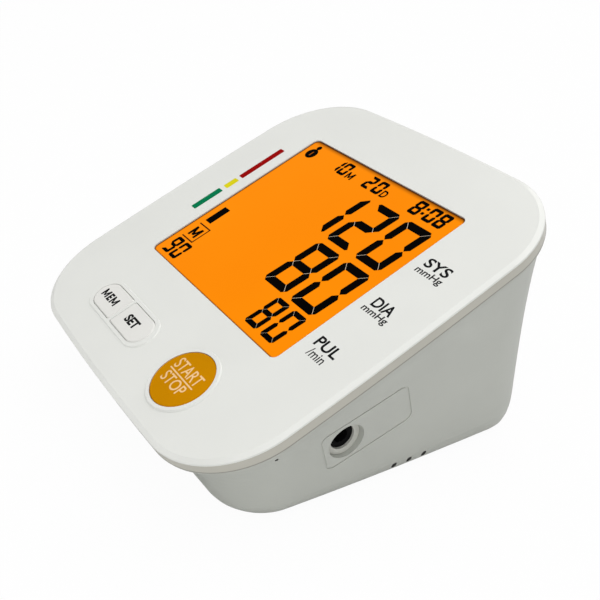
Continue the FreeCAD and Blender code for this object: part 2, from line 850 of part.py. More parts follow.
def make_wall_cuts():
    """Groove round the socket's panel, a pinhole and the vent slots, all in the right wall."""
    panel = rounded_plate(panel_long, panel_high, panel_corner_r, reach)
    panel = panel.cut(rounded_plate(panel_long - 2 * panel_groove, panel_high - 2 * panel_groove,
                                    panel_corner_r - panel_groove, reach))
    panel.Placement = Placement(Vector(0, face_y + panel_mid_y, panel_mid_z),
                                Rotation(Vector(1, 0, 0), panel_slope)
                                .multiply(Rotation(Vector(0, 1, 0), 90))
                                .multiply(Rotation(Vector(0, 0, 1), 90)))
    skin = outer_form.cut(case_form(panel_sunk))
    cuts = [panel.common(skin)]
    hole_y = face_y + pinhole_y
    hole_z = under_face(parting, hole_y) - pinhole_down
    hole = Vector(wall_x(hole_y, hole_z), hole_y, hole_z)
    outward = wall_normal(hole_y, hole_z)
    cuts.append(rod(pinhole_r, hole - outward * (2 * wall), hole + outward * overrun))
    for index in range(vent_count):
        y = face_y + vent_mid_y + (index - (vent_count - 1) / 2) * vent_pitch
        x = wall_x(y, vent_z)
        slot = rounded_plate(vent_wide, vent_high, vent_wide / 2, 2 * wall + overrun)
        slot.Placement = Placement(Vector(x - 2 * wall, y, vent_z), Rotation(Vector(0, 1, 0), 90)
                                   .multiply(Rotation(Vector(0, 0, 1), 90)))
        cuts.append(slot)
    return cuts


def make_feet():
    feet = []
    for side in (-1, 1):
        for y in (foot_front, foot_back):
            top = Vector(side * foot_x, y, base_z + foot_sunk)
            feet.append(rod(foot_r - slip, Vector(top.x, top.y, 0), top))
    return Part.makeCompound(feet)


def make_case_screws():
    """Pan-head screws with a cross recess, up through the case into the cover."""
    screws = []
    for x, y in boss_places:
        seat = Vector(x, y, base_z + head_sink)
        low = seat - Vector(0, 0, head_high)
        screw = rod(head_r, low, seat).fuse(rod(screw_r, seat, Vector(x, y, boss_top(y) + screw_bite)))
        slots = []
        for long_x, long_y in ((recess_long, recess_wide), (recess_wide, recess_long)):
            half = Vector(long_x / 2, long_y / 2, 0)
            slots.append(box_between(low - half - Vector(0, 0, overrun),
                                     low + half + Vector(0, 0, recess_deep)))
        screws.append(screw.cut(slots))
    return Part.makeCompound(screws)


def make_air_socket():
    """Collared socket with a slanted nipple that points at the manifold."""
    elbow = port_point(port_seat)
    body = joined([rod(socket_rim_r - slip, elbow, port_point(port_face)),
                   rod(socket_flange_r, port_point(port_back), elbow),
                   rod(nipple_r, elbow, elbow_end)])
    seal_end = port_face - seal_sunk - seal_length
    return body.cut([rod(socket_mouth_r, port_point(seal_end), port_point(port_face + overrun)),
                     rod(nipple_bore_r, elbow, elbow_end + elbow_way * overrun),
                     rod(nipple_bore_r, elbow, port_point(port_face))])


def make_socket_seal():
    front = port_face - seal_sunk
    return tube(socket_mouth_r - turning_gap, seal_r, port_point(front - seal_length), port_point(front))


def make_cell(index):
    """AA cell lying along X, its nub on its contact plate."""
    sign = cell_signs[index]
    tip = sign * plate_x
    shoulder = tip - sign * nub_length
    flat = shoulder - sign * cell_length
    place = Vector(0, cell_ys[index], cell_z)
    can = rod(cell_r, place + along_x * flat, place + along_x * shoulder)
    nub = rod(nub_r, place + along_x * shoulder, place + along_x * tip)
    return can.fuse(nub)


def make_contact_plates():
    """Strips at the ends of the bay that put the cells in series, a tab at each cell."""
    plates = []
    links = {1: [(0, 1), (2, 3)], -1: [(0,), (1, 2), (3,)]}
    half = contact_wide / 2
    for side, groups in links.items():
        near_x = min(side * plate_x, side * bay_half)
        far_x = max(side * plate_x, side * bay_half)
        for group in groups:
            strips = [box_between(Vector(near_x, cell_ys[group[0]] - half, cell_z - half),
                                  Vector(far_x, cell_ys[group[-1]] + half, cell_z))]
            for index in group:
                strips.append(box_between(Vector(near_x, cell_ys[index] - half, cell_z),
                                          Vector(far_x, cell_ys[index] + half, cell_z + half)))
            plates.append(joined(strips))
    return Part.makeCompound(plates)


def make_leaf_contacts():
    """Bowed strips that press on the flat ends of the cells."""
    leaves = []
    for sign, y in zip(cell_signs, cell_ys):
        root = -sign * plate_x
        bow = leaf_room - turning_gap
        half = contact_wide / 2
        outer = [Vector(root, y, cell_z - half), Vector(root + sign * bow, y, cell_z),
                 Vector(root, y, cell_z + half)]
        inner = [Vector(root, y, cell_z + half - contact_thick),
                 Vector(root + sign * (bow - contact_thick), y, cell_z),
                 Vector(root, y, cell_z - half + contact_thick)]
        edges = [Part.Arc(*outer).toShape(), Part.makeLine(outer[2], inner[0]),
                 Part.Arc(*inner).toShape(), Part.makeLine(inner[2], outer[0])]
        leaf = Part.Face(Part.Wire(edges)).extrude(Vector(0, leaf_wide, 0))
        leaf.translate(Vector(0, -leaf_wide / 2, 0))
        leaves.append(leaf)
    return Part.makeCompound(leaves)


def make_pump_motor():
    can = rod(motor_r, line_point(motor_left), line_point(motor_right))
    can = can.makeChamfer(motor_edge, [edge for edge in can.Edges if edge.BoundBox.XMax < motor_left + near])
    room = rod(motor_r - motor_wall, line_point(motor_left + motor_wall),
               line_point(motor_right - motor_wall))
    bearing = rod(shaft_r + turning_gap, line_point(motor_left - overrun), line_point(motor_right + overrun))
    return can.cut([room, bearing])


def make_pump_rotor():
    """Motor shaft with its armature, and the eccentric that works the pump."""
    chamber_end = motor_right + chamber_length
    armature = rod(armature_r, line_point(motor_left + motor_wall + armature_gap),
                   line_point(motor_right - motor_wall - armature_gap))
    shaft = rod(shaft_r, line_point(motor_left - shaft_tail), line_point(chamber_end - eccentric_gap))
    throw = Vector(0, 0, eccentric_throw)
    eccentric = rod(eccentric_r, line_point(chamber_end - eccentric_gap - eccentric_thick) + throw,
                    line_point(chamber_end - eccentric_gap) + throw)
    return joined([armature, shaft, eccentric])


def make_pump_head():
    block = rounded_plate(head_side, head_side, head_corner_r, head_length)
    block.Placement = Placement(line_point(motor_right), Rotation(Vector(0, 1, 0), 90))
    nipple = rod(nipple_r, line_point(head_right), line_point(head_right + nipple_length))
    chamber = rod(chamber_r, line_point(motor_right - overrun), line_point(motor_right + chamber_length))
    bore = rod(nipple_bore_r, line_point(motor_right), line_point(head_right + nipple_length + overrun))
    return joined([block, nipple]).cut([chamber, bore])


def make_pump_sleeve():
    middle = (motor_left + motor_right) / 2
    return tube(sleeve_r, motor_r, line_point(middle - sleeve_length / 2),
                line_point(middle + sleeve_length / 2))


sensor_nipple_end = sensor_depth + nipple_length
manifold_tip = sensor_nipple_end + nipple_apart


def sensor_point(depth):
    return face_point(manifold_mid.x, manifold_up, depth)


def make_pressure_sensor():
    block = rounded_plate(sensor_side, sensor_side, chip_corner_r, sensor_high)
    block.translate(Vector(manifold_mid.x, manifold_up, -sensor_depth))
    nipple = rod(nipple_r, sensor_point(sensor_nipple_end), sensor_point(sensor_depth - sensor_high / 2))
    bore = rod(nipple_bore_r, sensor_point(sensor_nipple_end + overrun), sensor_point(sensor_depth))
    return joined([on_face(block), nipple]).cut(bore)


def manifold_arms():
    """Ends of the manifold's four nipples."""
    half = manifold_side / 2 + nipple_length
    return [manifold_mid - along_x * half, manifold_mid + along_x * half,
            manifold_mid - elbow_way * elbow_length, sensor_point(manifold_tip)]


def make_air_manifold():
    half = Vector(manifold_side / 2, manifold_side / 2, manifold_side / 2)
    pieces = [box_between(manifold_mid - half, manifold_mid + half)]
    bores = []
    for end in manifold_arms():
        pieces.append(rod(nipple_r, manifold_mid, end))
        past = (end - manifold_mid).normalize() * overrun
        bores.append(rod(nipple_bore_r, manifold_mid, end + past))
    return joined(pieces).cut(bores)


def line_tube(start, end):
    return tube(tube_r, nipple_r + tube_gap, start, end)


def make_pump_tube():
    return line_tube(line_point(head_right + tube_end_gap), line_point(manifold_left - tube_end_gap))


def make_valve_tube():
    """Hose to the valve, clear of the manifold's block and of its slanted nipple."""
    slant = abs(elbow_way.x)
    past_nipple = ((tube_r + tube_end_gap) * slant + nipple_r) / math.sqrt(1 - slant ** 2)
    clear = max(manifold_side / 2 + tube_end_gap, past_nipple)
    return line_tube(manifold_mid + along_x * clear, line_point(yoke_left - tube_end_gap))


def make_sensor_tube():
    clear = (manifold_side / 2 + tube_end_gap + tube_r * tilt_sin) / tilt_cos
    return line_tube(sensor_point(manifold_depth - clear), sensor_point(sensor_depth + tube_end_gap))


def make_socket_tube():
    """Hose from the manifold down and across to the socket, clear of both by its slant."""
    return line_tube(manifold_mid - elbow_way * elbow_clear, port_point(port_seat) + elbow_way * elbow_clear)


def make_valve_yoke():
    """Open frame round the coil, with the air nozzle on its nose."""
    half = yoke_side / 2
    frame = box_between(Vector(yoke_left, pump_y - half, pump_z - half),
                        Vector(yoke_right, pump_y + half, pump_z + half))
    opening = box_between(Vector(yoke_left + yoke_wall, pump_y - half - overrun, pump_z - half + yoke_wall),
                          Vector(yoke_right - yoke_wall, pump_y + half + overrun, pump_z + half - yoke_wall))
    nozzle = rod(nipple_r, line_point(yoke_left - nipple_length), line_point(yoke_left + yoke_wall / 2))
    bore = rod(nipple_bore_r, line_point(yoke_left - nipple_length - overrun),
               line_point(yoke_left + yoke_wall))
    guide = rod(valve_rod_r + turning_gap, line_point(yoke_right - yoke_wall - slip),
                line_point(yoke_right + overrun))
    return joined([frame.cut(opening), nozzle]).cut([bore, guide])


def make_valve_coil():
    end = yoke_right - yoke_wall
    return tube(coil_r, valve_rod_r + turning_gap, line_point(end - coil_length), line_point(end))


def make_valve_plunger():
    return rod(valve_rod_r, line_point(yoke_left + yoke_wall + valve_travel + valve_rest),
               line_point(yoke_right + valve_rod_proud))


nodes = {
    "top_cover": make_top_cover(),
    "trim_band": make_trim_band(),
    "bottom_shell": make_bottom_shell(),
    "display_window": make_display_window(),
    "display_glass": on_face(window_block(window_flange, glass_top, glass_bottom)),
    "backlight_plate": on_face(window_block(window_flange, glass_bottom, board_top)),
    "display_frame": make_display_frame(),
    "main_board": make_main_board(),
    "board_screws": make_board_screws(),
    "controller_chip": make_chip(),
    "buzzer": make_buzzer(),
    "pressure_sensor": make_pressure_sensor(),
    "mem_key": make_key("mem"),
    "set_key": make_key("set"),
    "start_button": make_start_button(),
    "air_socket": make_air_socket(),
    "socket_seal": make_socket_seal(),
    "pump_motor": make_pump_motor(),
    "pump_rotor": make_pump_rotor(),
    "pump_head": make_pump_head(),
    "pump_sleeve": make_pump_sleeve(),
    "air_manifold": make_air_manifold(),
    "pump_tube": make_pump_tube(),
    "valve_tube": make_valve_tube(),
    "sensor_tube": make_sensor_tube(),
    "socket_tube": make_socket_tube(),
    "valve_yoke": make_valve_yoke(),
    "valve_coil": make_valve_coil(),
    "valve_plunger": make_valve_plunger(),
    "battery_door": make_battery_door(),
    "contact_plates": make_contact_plates(),
    "leaf_contacts": make_leaf_contacts(),
    "rubber_feet": make_feet(),
    "case_screws": make_case_screws(),
}
for name in switch_mids:
    nodes[name + "_switch"] = make_switch(name)
    nodes[name + "_plunger"] = make_plunger(name)
for index in range(cell_count):
    nodes["aa_cell_" + str(index + 1)] = make_cell(index)

os.makedirs("parts", exist_ok=True)
for name, shape in nodes.items():
    shape.exportStep("parts/" + name + ".step")
    print(name, shape.isValid(), len(shape.Solids), round(shape.Volume, 1))
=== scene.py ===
import json
import bpy
import numpy as np
from mathutils import Matrix, Vector


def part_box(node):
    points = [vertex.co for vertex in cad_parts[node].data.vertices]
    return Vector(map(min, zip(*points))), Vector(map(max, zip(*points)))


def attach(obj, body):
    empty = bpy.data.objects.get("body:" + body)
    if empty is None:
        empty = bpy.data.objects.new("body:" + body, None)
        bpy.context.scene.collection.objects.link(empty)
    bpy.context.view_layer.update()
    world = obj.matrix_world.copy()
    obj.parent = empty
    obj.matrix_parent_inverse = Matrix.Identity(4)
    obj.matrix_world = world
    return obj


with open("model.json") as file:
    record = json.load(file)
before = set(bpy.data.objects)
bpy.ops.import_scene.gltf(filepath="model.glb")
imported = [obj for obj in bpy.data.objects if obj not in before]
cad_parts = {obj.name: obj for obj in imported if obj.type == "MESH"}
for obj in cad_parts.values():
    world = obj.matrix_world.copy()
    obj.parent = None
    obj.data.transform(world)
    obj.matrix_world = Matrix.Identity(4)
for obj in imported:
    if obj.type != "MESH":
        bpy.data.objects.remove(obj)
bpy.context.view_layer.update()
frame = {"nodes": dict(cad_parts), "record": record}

nodes = frame["nodes"]
scene = bpy.context.scene
scene.view_settings.view_transform = "Standard"
print("frame loaded,", len(nodes), "nodes")

# sloping face: across runs to the right, up runs up the slope, height stands off it
face = {"tilt": np.radians(24.2), "midY": -0.0015159, "midZ": 0.0505, "windowUp": 0.0086}
mm = 0.001


def onFace(across, up, height):
    # point = middle of the face + across * x + up * slope + height * normal
    c, s = np.cos(face["tilt"]), np.sin(face["tilt"])
    y = face["midY"] + up * c - height * s
    z = face["midZ"] + up * s + height * c
    return np.stack(np.broadcast_arrays(across, y, z), -1)


# small helpers for node trees
def startFinish(name):
    mat = bpy.data.materials.new(name)
    mat.use_nodes = True
    nt = mat.node_tree
    return mat, nt, nt.nodes["Principled BSDF"]


def objectPlace(nt):
    return nt.nodes.new("ShaderNodeTexCoord").outputs["Object"]


def splitPlace(nt, place):
    split = nt.nodes.new("ShaderNodeSeparateXYZ")
    nt.links.new(place, split.inputs["Vector"])
    return split.outputs["X"], split.outputs["Y"], split.outputs["Z"]


def addMath(nt, operation, *values):
    node = nt.nodes.new("ShaderNodeMath")
    node.operation = operation
    for socket, value in zip(node.inputs, values):
        if isinstance(value, (int, float)):
            socket.default_value = value
        else:
            nt.links.new(value, socket)
    return node.outputs[0]


def addNoise(nt, scale, detail=3.0):
    noise = nt.nodes.new("ShaderNodeTexNoise")
    noise.inputs["Scale"].default_value = scale
    noise.inputs["Detail"].default_value = detail
    nt.links.new(objectPlace(nt), noise.inputs["Vector"])
    return noise.outputs["Fac"]


def addRange(nt, value, low, high, toLow=0.0, toHigh=1.0, smooth=False):
    node = nt.nodes.new("ShaderNodeMapRange")
    if smooth:
        node.interpolation_type = "SMOOTHSTEP"
    for name, number in (("From Min", low), ("From Max", high), ("To Min", toLow), ("To Max", toHigh)):
        node.inputs[name].default_value = number
    nt.links.new(value, node.inputs["Value"])
    return node.outputs["Result"]


def addRamp(nt, value, low, high, span=(0.35, 0.65)):
    ramp = nt.nodes.new("ShaderNodeValToRGB")
    for element, position, colour in zip(ramp.color_ramp.elements, span, (low, high)):
        element.position = position
        element.color = (*colour, 1)
    nt.links.new(value, ramp.inputs["Fac"])
    return ramp.outputs["Color"]


def addBump(nt, height, strength, distance=0.0002):
    bump = nt.nodes.new("ShaderNodeBump")
    bump.inputs["Strength"].default_value = strength
    bump.inputs["Distance"].default_value = distance
    nt.links.new(height, bump.inputs["Height"])
    return bump.outputs["Normal"]


def addMix(nt, share, first, second):
    mix = nt.nodes.new("ShaderNodeMix")
    mix.data_type = "RGBA"
    for name, value in (("Factor", share), ("A", first), ("B", second)):
        if isinstance(value, tuple):
            mix.inputs[name].default_value = value
        else:
            nt.links.new(value, mix.inputs[name])
    return mix.outputs["Result"]


def holeShadeMask(nt, holeShade):
    # painted shade inside an upright slot of the right wall: hypot(y, max(|z| - straight, 0)) < radius
    x, y, z = splitPlace(nt, objectPlace(nt))
    inside = 0.0
    for midY, midZ, radius, straight in holeShade["spots"]:
        tall = addMath(nt, "ABSOLUTE", addMath(nt, "SUBTRACT", z, midZ))
        end = addMath(nt, "MAXIMUM", addMath(nt, "SUBTRACT", tall, straight), 0.0)
        wide = addMath(nt, "SUBTRACT", y, midY)
        far = addMath(nt, "ADD", addMath(nt, "MULTIPLY", wide, wide), addMath(nt, "MULTIPLY", end, end))
        inside = addMath(nt, "MAXIMUM", addMath(nt, "LESS_THAN", far, radius ** 2), inside)
    return addMath(nt, "MULTIPLY", inside, addMath(nt, "GREATER_THAN", x, holeShade["fromX"]))


def facePlace(nt, up=0.0):
    # a point's across, up and height on the face, measured from a spot on its middle line
    turned = nt.nodes.new("ShaderNodeMapping")
    turned.vector_type = "TEXTURE"
    turned.inputs["Location"].default_value = onFace(0.0, up, 0.0).tolist()
    turned.inputs["Rotation"].default_value = (face["tilt"], 0, 0)
    nt.links.new(objectPlace(nt), turned.inputs["Vector"])
    return splitPlace(nt, turned.outputs["Vector"])


def seamShadeMask(nt, seamShade):
    # painted shade along the band's parting lines: thin lines round the band, each at its own height off the
    # face, full in the core and gone at the end
    height = facePlace(nt)[2]
    core, end = seamShade["fade"]
    inside = 0.0
    for level, half in seamShade["lines"]:
        off = addMath(nt, "ABSOLUTE", addMath(nt, "SUBTRACT", height, level))
        inside = addMath(nt, "MAXIMUM", addRange(nt, off, half * core, half * end, 1.0, 0.0, True), inside)
    return inside


def edgeDistance(nt, across, up, halfWidth, halfLength, corner):
    # distance from a rounded box, negative inside it:
    # q = |p| - (half - corner), d = |max(q, 0)| + min(max(q), 0) - corner
    qx = addMath(nt, "SUBTRACT", addMath(nt, "ABSOLUTE", across), halfWidth - corner)
    qy = addMath(nt, "SUBTRACT", addMath(nt, "ABSOLUTE", up), halfLength - corner)
    outX = addMath(nt, "POWER", addMath(nt, "MAXIMUM", qx, 0.0), 2.0)
    outY = addMath(nt, "POWER", addMath(nt, "MAXIMUM", qy, 0.0), 2.0)
    out = addMath(nt, "SQRT", addMath(nt, "ADD", outX, outY))
    inner = addMath(nt, "MINIMUM", addMath(nt, "MAXIMUM", qx, qy), 0.0)
    return addMath(nt, "SUBTRACT", addMath(nt, "ADD", out, inner), corner)


def plasticFinish(name, colour, vary=0.03, rough=0.4, roughVary=0.08, blotch=45, grain=1800, bump=0.02,
                  coat=0.0, coatRough=0.12, specular=0.5, metallic=0.0, holeShade=None, seamShade=None):
    # moulded look: soft blotches in the colour, finer ones in the gloss, and a fine grain in the bump
    mat, nt, bsdf = startFinish(name)
    tone = np.array(colour)
    tint = addRamp(nt, addNoise(nt, blotch, 2), tone * (1 - vary), np.minimum(tone * (1 + vary), 1))
    # painted shade in the vents and pinhole
    if holeShade:
        tint = addMix(nt, holeShadeMask(nt, holeShade), tint, (*holeShade["shade"], 1))
    # painted shade along the band's parting lines
    if seamShade:
        tint = addMix(nt, seamShadeMask(nt, seamShade), tint, (*(tone * seamShade["share"]), 1))
    nt.links.new(tint, bsdf.inputs["Base Color"])
    fine = addNoise(nt, grain)
    gloss = addRange(nt, fine, 0.0, 1.0, rough - roughVary, rough + roughVary)
    nt.links.new(gloss, bsdf.inputs["Roughness"])
    nt.links.new(addBump(nt, fine, bump), bsdf.inputs["Normal"])
    bsdf.inputs["Specular IOR Level"].default_value = specular
    bsdf.inputs["Metallic"].default_value = metallic
    bsdf.inputs["Coat Weight"].default_value = coat
    bsdf.inputs["Coat Roughness"].default_value = coatRough
    return mat


# lit display: half sizes and corner of its window, its two oranges, and where painted shade darkens its edges
glow = {
    "halfWidth": 0.04, "halfLength": 0.0354, "corner": 0.0022,
    "low": (0.985, 0.258, 0.0), "high": (1.0, 0.272, 0.0), "paintedShade": (0.05, 0.012, 0.0), "blotch": 25,
    "shade": 0.00012, "edgeFrom": -0.0009, "edgeTo": -0.0001, "topFade": 0.0024, "topShare": 0.25,
    "base": (0.01, 0.003, 0.0), "film": 120, "glossy": 0.18, "dull": 0.3, "specular": 0.03,
}


def displayFinish(name):
    # even orange, with painted shade from the frame darkening its edges, the upper one most
    mat, nt, bsdf = startFinish(name)
    across, up = facePlace(nt, face["windowUp"])[:2]
    # painted shade along the window's edges, wider at the left and top, plus a painted fade along the upper
    # edge
    shifted = (addMath(nt, "SUBTRACT", across, glow["shade"]), addMath(nt, "ADD", up, glow["shade"]))
    past = edgeDistance(nt, *shifted, glow["halfWidth"], glow["halfLength"], glow["corner"])
    edge = addRange(nt, past, glow["edgeFrom"], glow["edgeTo"], 1.0, 0.0, True)
    topLine = glow["halfLength"]
    top = addRange(nt, up, topLine - glow["topFade"], topLine, 1.0, glow["topShare"], True)
    even = addRamp(nt, addNoise(nt, glow["blotch"], 1), glow["low"], glow["high"])
    lit = addMix(nt, addMath(nt, "MULTIPLY", edge, top), (*glow["paintedShade"], 1), even)
    nt.links.new(lit, bsdf.inputs["Emission Color"])
    bsdf.inputs["Emission Strength"].default_value = 1.0
    bsdf.inputs["Base Color"].default_value = (*glow["base"], 1)
    gloss = addRange(nt, addNoise(nt, glow["film"]), 0.0, 1.0, glow["glossy"], glow["dull"])
    nt.links.new(gloss, bsdf.inputs["Roughness"])
    bsdf.inputs["Specular IOR Level"].default_value = glow["specular"]
    return mat


# painted shade in the vents and pinhole of the right wall: middle along y and z, radius and straight half
vents = {"midY": (0.005684, 0.011284, 0.016884), "midZ": 0.0042, "radius": 0.0009, "straight": 0.00025}
pinhole = (-0.036716, 0.0245, 0.00055, 0.0)
wallHoleShade = {
    "spots": [(y, vents["midZ"], vents["radius"], vents["straight"]) for y in vents["midY"]] + [pinhole],
    "fromX": 0.03,
    "shade": (0.1, 0.1, 0.095),
}
# painted shade along the parting lines at the upper and the lower edge of the band: height off the face and
# half width
bandSeamShade = {"lines": [(-0.0013, 0.0001), (-0.0042, 0.0002)], "fade": (0.5, 1.5), "share": 0.55}
finishes = {
    "cover_white": plasticFinish("coverWhite", (0.757, 0.764, 0.728), 0.01, 0.4, 0.05, bump=0.006, coat=0.3),
    "band_grey": plasticFinish("bandGrey", (0.503, 0.489, 0.427), 0.02, 0.35, coat=0.2, seamShade=bandSeamShade),
    "case_grey": plasticFinish("caseGrey", (0.497, 0.51, 0.468), 0.02, 0.45, bump=0.06, holeShade=wallHoleShade),
    "window_clear": displayFinish("litWindow"),
    "display_orange": displayFinish("litDisplay"),
    "light_white": plasticFinish("lightGuide", (0.9, 0.85, 0.75), 0.02, 0.2),
    "frame_white": plasticFinish("innerWhite", (0.75, 0.75, 0.72), 0.03, 0.5),
    "board_green": plasticFinish("boardGreen", (0.03, 0.16, 0.06), 0.2, 0.35, 0.1, grain=600, bump=0.2),
    "screw_steel": plasticFinish("platedSteel", (0.6, 0.6, 0.6), 0.06, 0.3, 0.1, grain=900, metallic=1.0),
    "motor_steel": plasticFinish("drawnSteel", (0.55, 0.55, 0.56), 0.06, 0.35, 0.1, grain=900, metallic=1.0),
    "chip_black": plasticFinish("chipResin", (0.02, 0.02, 0.02), 0.2, 0.5, 0.1, bump=0.1),
    "sensor_pale": plasticFinish("sensorResin", (0.7, 0.68, 0.62), 0.04, 0.5),
    "plunger_brown": plasticFinish("plungerBrown", (0.16, 0.08, 0.04), 0.1, 0.5),
    "key_white": plasticFinish("keyWhite", (0.76, 0.755, 0.72), 0.012, 0.35, 0.06, coat=0.2),
    "start_amber": plasticFinish("startAmber", (0.56, 0.228, 0.0), 0.04, specular=0.01),
    "socket_grey": plasticFinish("socketGrey", (0.6, 0.6, 0.55)),
    "seal_black": plasticFinish("liningBlack", (0.005, 0.005, 0.005), 0.2, 0.6, specular=0.05),
    "hose_rubber": plasticFinish("hoseRubber", (0.45, 0.43, 0.38), 0.06, 0.6, bump=0.1),
    "sleeve_rubber": plasticFinish("footRubber", (0.05, 0.05, 0.05), 0.15, 0.7, bump=0.2),
    "coil_copper": plasticFinish("coilCopper", (0.6, 0.25, 0.1), 0.08, 0.35, metallic=1.0),
}
# a cell is bare past this share of its length on either side of its middle
cell = {"bareFrom": 0.468, "metal": (0.62, 0.62, 0.62), "blotch": 90, "low": (0.05, 0.09, 0.19),
        "high": (0.07, 0.12, 0.23), "grain": 900, "glossy": 0.22, "dull": 0.36, "bump": 0.02}


def cellFinish(name, low, high):
    # printed jacket along a cell, with bare metal at its two ends
    mat, nt, bsdf = startFinish(name)
    along = addRange(nt, splitPlace(nt, objectPlace(nt))[0], low, high, -0.5, 0.5)
    bare = addMath(nt, "GREATER_THAN", addMath(nt, "ABSOLUTE", along), cell["bareFrom"])
    jacket = addRamp(nt, addNoise(nt, cell["blotch"], 2), cell["low"], cell["high"])
    nt.links.new(addMix(nt, bare, jacket, (*cell["metal"], 1)), bsdf.inputs["Base Color"])
    nt.links.new(bare, bsdf.inputs["Metallic"])
    fine = addNoise(nt, cell["grain"])
    nt.links.new(addRange(nt, fine, 0.0, 1.0, cell["glossy"], cell["dull"]), bsdf.inputs["Roughness"])
    nt.links.new(addBump(nt, fine, cell["bump"]), bsdf.inputs["Normal"])
    return mat


slotOf = {part["node"]: part["material_slot"] for part in frame["record"]["subparts"]}
for node, obj in nodes.items():
    if slotOf[node] == "cell_jacket":
        low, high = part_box(node)
        finish = cellFinish(node + "_jacket", low.x, high.x)
    else:
        finish = finishes[slotOf[node]]
    obj.material_slots[0].material = finish
inks = {
    "black": plasticFinish("inkBlack", (0.004, 0.004, 0.005), 0.15, 0.6, 0.1, specular=0.1),
    "grey": plasticFinish("inkGrey", (0.012, 0.012, 0.013), 0.15, 0.6, 0.1, specular=0.1),
    "cream": plasticFinish("inkCream", (0.84, 0.56, 0.28), 0.05, 0.6, 0.1, specular=0.1),
    "red": plasticFinish("barRed", (0.29, 0.001, 0.001), 0.06, 0.6, specular=0.02),
    "yellow": plasticFinish("barYellow", (0.68, 0.61, 0.01), 0.06, 0.6, specular=0.02),
    "green": plasticFinish("barGreen", (0.0, 0.17, 0.066), 0.06, 0.6, specular=0.02),
    "segment": plasticFinish("segmentBlack", (0.001, 0.0006, 0.0006), 0.2, 0.5, 0.05, specular=0.01),
    "mark": plasticFinish("segmentMark", (0.42, 0.09, 0.0), 0.1, 0.5, specular=0.03),
    "outline": plasticFinish("segmentBrown", (0.06, 0.012, 0.0), 0.1, 0.5, specular=0.03),
    "gap": plasticFinish("segmentGap", (0.62, 0.52, 0.4), 0.05, 0.5, specular=0.03),
}
print("finishes ready")


# thin printed and lit shapes on the face
def finishPiece(name, mesh, finish, body):
    mesh.materials.clear()
    mesh.materials.append(finish)
    obj = bpy.data.objects.new(name, mesh)
    scene.collection.objects.link(obj)
    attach(obj, body)


def addPlates(name, outlines, low, high, finish, body, slot):
    # each outline, n points round, is carried along two heights and capped at both
    k, n = outlines.shape[:2]
    across = outlines[:, None, :, 0] * mm
    up = outlines[:, None, :, 1] * mm + face["windowUp"]
    height = np.array([low, high])[None, :, None] * mm
    points = onFace(across, up, height).reshape(-1, 3)
    index = np.arange(k * 2 * n).reshape(k, 2, n)
    ahead = np.roll(index, -1, axis=2)
    sides = np.stack([index[:, 0], ahead[:, 0], ahead[:, 1], index[:, 1]], -1).reshape(-1, 4)
    caps = np.concatenate([index[:, 1], index[:, 0, ::-1]])
    mesh = bpy.data.meshes.new(name)
    mesh.from_pydata(points.tolist(), [], sides.tolist() + caps.tolist())
    finishPiece(name, mesh, finish, body)


def roundedBox(left, right, bottom, top, radius, steps=6):
    # four quarter circles, one round each corner's middle
    turn = np.linspace(0, np.pi / 2, steps)[None] + np.arange(4)[:, None] * np.pi / 2
    midX = np.array([right - radius, left + radius, left + radius, right - radius])[:, None]
    midY = np.array([top - radius, top - radius, bottom + radius, bottom + radius])[:, None]
    return np.stack([midX + radius * np.cos(turn), midY + radius * np.sin(turn)], -1).reshape(1, -1, 2)


# in millimetres from the middle of the display; a digit has its left, bottom, width, height and stroke
display = {
    "slant": 0.06,
    "digits": [
        ("1", -6.5, 4.6, 12.0, 20.7, 2.95), ("2", 8.3, 4.6, 11.9, 20.7, 2.9),
        ("0", 23.2, 4.6, 12.1, 20.7, 2.9),
        ("8", 7.2, -18.7, 12.1, 21.1, 2.9), ("0", 22.3, -18.7, 12.2, 21.1, 2.9),
        ("8", 18.4, -32.5, 6.7, 12.5, 1.8), ("0", 27.2, -32.5, 6.8, 12.5, 1.8),
        ("8", 20.1, 27.6, 4.0, 6.4, 1.2), ("0", 26.8, 27.6, 4.0, 6.4, 1.2),
        ("8", 31.6, 27.6, 3.9, 6.4, 1.2),
        ("2", -3.8, 27.3, 3.9, 6.1, 1.18), ("0", 1.3, 27.3, 3.9, 6.1, 1.18),
        ("1", -21.6, 27.1, 3.4, 6.2, 1.15), ("0", -17.6, 27.1, 3.9, 6.2, 1.15),
        ("9", -37.0, -33.4, 4.3, 7.6, 1.25), ("0", -31.7, -33.4, 4.3, 7.6, 1.25),
    ],
    # shares of a stroke: slanted cut, gap between strokes, and start and half width of the line in that gap
    "cut": 0.45, "gap": 0.045, "lineFrom": 0.3, "lineHalf": 0.058,
    "boldFrom": 1.5,
    "under": -0.42, "over": -0.35,
}
strokesLit = {"0": [0, 1, 2, 3, 4, 5], "1": [1, 2], "2": [0, 1, 3, 4, 6], "8": [0, 1, 2, 3, 4, 5, 6],
              "9": [0, 1, 2, 3, 5, 6]}
mitresLit = {"0": [0, 1, 2, 3], "1": [], "2": [1, 2, 5, 6], "8": [0, 1, 2, 3, 4, 5, 6, 7],
             "9": [0, 1, 3, 4, 6, 7]}


